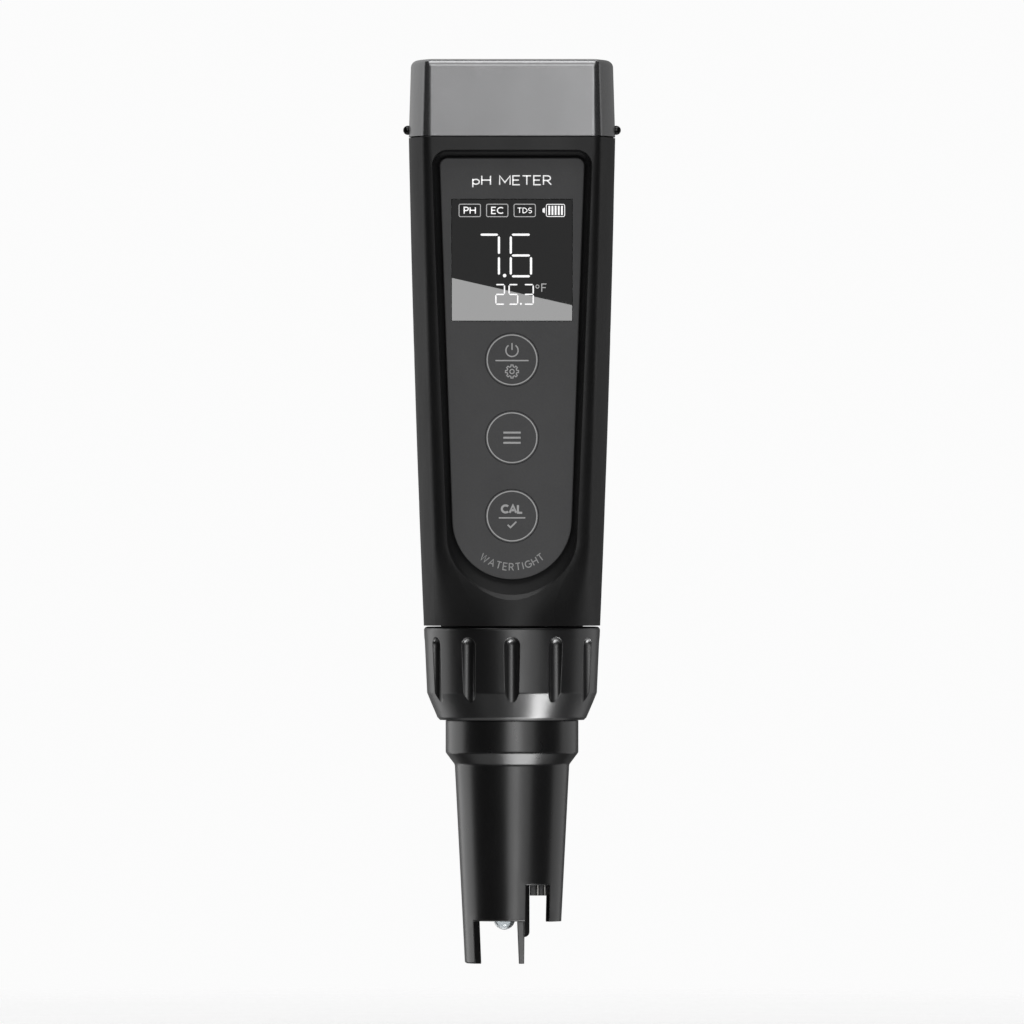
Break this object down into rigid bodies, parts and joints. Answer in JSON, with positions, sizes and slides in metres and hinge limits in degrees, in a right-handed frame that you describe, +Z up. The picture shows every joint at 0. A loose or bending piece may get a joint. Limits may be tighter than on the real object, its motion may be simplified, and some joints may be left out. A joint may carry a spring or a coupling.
{
  "type": "ph test pen",
  "caption": "Handheld water test pen with a tapered black body, grey battery cap, display window, round keys, fluted collar nut and a slotted replaceable probe.",
  "frame": {"origin": "on the pen's long axis, in the plane of the probe's tip", "axes": "+Z up the pen from the probe to the cap, -Y the face with the display and keys, +X to the right as the display is read"},
  "size_m": [0.043, 0.0357, 0.178],
  "materials": {
    "housing_black": "fine moulded texture",
    "cap_grey": "satin metallic grey paint on moulded plastic",
    "overlay_grey": "matte printed polyester film",
    "display_window": "smoked acrylic window",
    "lcd_glass": "display glass with polariser",
    "backlight_white": "white diffuser",
    "seal_rubber": "moulded rubber",
    "switch_black": "moulded",
    "plunger_white": "moulded",
    "board_green": "solder mask on glass-epoxy",
    "chip_black": "moulded package",
    "capacitor_can": "plain",
    "screw_steel": "zinc plated",
    "flex_amber": "flexible circuit film",
    "inner_black": "moulded",
    "cell_wrap": "printed steel can",
    "contact_nickel": "nickel plated",
    "contact_gold": "gold flashed",
    "stud_black": "polished",
    "collar_black": "satin moulded",
    "probe_black": "satin moulded",
    "carrier_dark": "potted",
    "pole_steel": "stainless, bead blasted",
    "electrode_glass": "thin blown glass",
    "electrode_wire": "silver, chlorided",
    "junction_ceramic": "porous ceramic wick"
  },
  "bodies": {
    "housing": {"housing_shell": "housing_black", "cap_seal": "seal_rubber", "face_overlay": "overlay_grey", "display_window": "display_window", "lcd_glass": "lcd_glass", "lcd_backlight": "backlight_white", "lcd_contact_strips": "seal_rubber", "key_switches": "switch_black", "main_board": "board_green", "board_screws": "screw_steel", "board_chips": "chip_black", "board_capacitors": "capacitor_can", "probe_cable": "flex_amber", "battery_holder": "inner_black", "battery_cells": "cell_wrap", "battery_springs": "contact_nickel", "spring_plates": "contact_nickel", "door_hinge_pin": "screw_steel", "socket_body": "inner_black", "socket_contacts": "contact_gold", "socket_screws": "screw_steel"},
    "battery_lid": {"battery_door": "inner_black", "door_contacts": "contact_nickel"},
    "cap": {"top_cap": "cap_grey", "lanyard_studs": "stud_black"},
    "key_power": {"key_power": "overlay_grey", "switch_plunger_power": "plunger_white"},
    "key_menu": {"key_menu": "overlay_grey", "switch_plunger_menu": "plunger_white"},
    "key_cal": {"key_cal": "overlay_grey", "switch_plunger_cal": "plunger_white"},
    "probe": {"probe_barrel": "probe_black", "probe_seal": "seal_rubber", "plug_o_ring": "seal_rubber", "plug_insert": "inner_black", "plug_pins": "contact_gold", "sensor_carrier": "carrier_dark", "conductivity_poles": "pole_steel", "ph_glass_electrode": "electrode_glass", "inner_electrode_wire": "electrode_wire", "reference_junction": "junction_ceramic", "temperature_sensor": "pole_steel"},
    "collar": {"collar_nut": "collar_black"}
  },
  "joints": [
    {"name": "cap_pull", "type": "slide", "parent": "housing", "child": "cap", "axis": [0, 0, 1], "range_m": [0, 0.06]},
    {"name": "battery_lid_hinge", "type": "hinge", "parent": "housing", "child": "battery_lid", "pos_m": [0, 0.0126, 0.1704], "axis": [-1, 0, 0], "range_deg": [0, 90]},
    {"name": "probe_withdraw", "type": "slide", "parent": "housing", "child": "probe", "axis": [0, 0, -1], "range_m": [0, 0.014]},
    {"name": "collar_turn", "type": "hinge", "parent": "probe", "child": "collar", "pos_m": [0, 0, 0], "axis": [0, 0, -1], "range_deg": [0, 841]},
    {"name": "power_press", "type": "slide", "parent": "housing", "child": "key_power", "axis": [0, 1, 0], "range_m": [0, 0.00035]},
    {"name": "menu_press", "type": "slide", "parent": "housing", "child": "key_menu", "axis": [0, 1, 0], "range_m": [0, 0.00035]},
    {"name": "cal_press", "type": "slide", "parent": "housing", "child": "key_cal", "axis": [0, 1, 0], "range_m": [0, 0.00035]}
  ],
  "couplings": [
    {"joint": "battery_lid_hinge", "follows": "cap_pull", "rad_per_m": 26.17},
    {"joint": "collar_turn", "follows": "probe_withdraw", "rad_per_m": 1047.2}
  ]
}
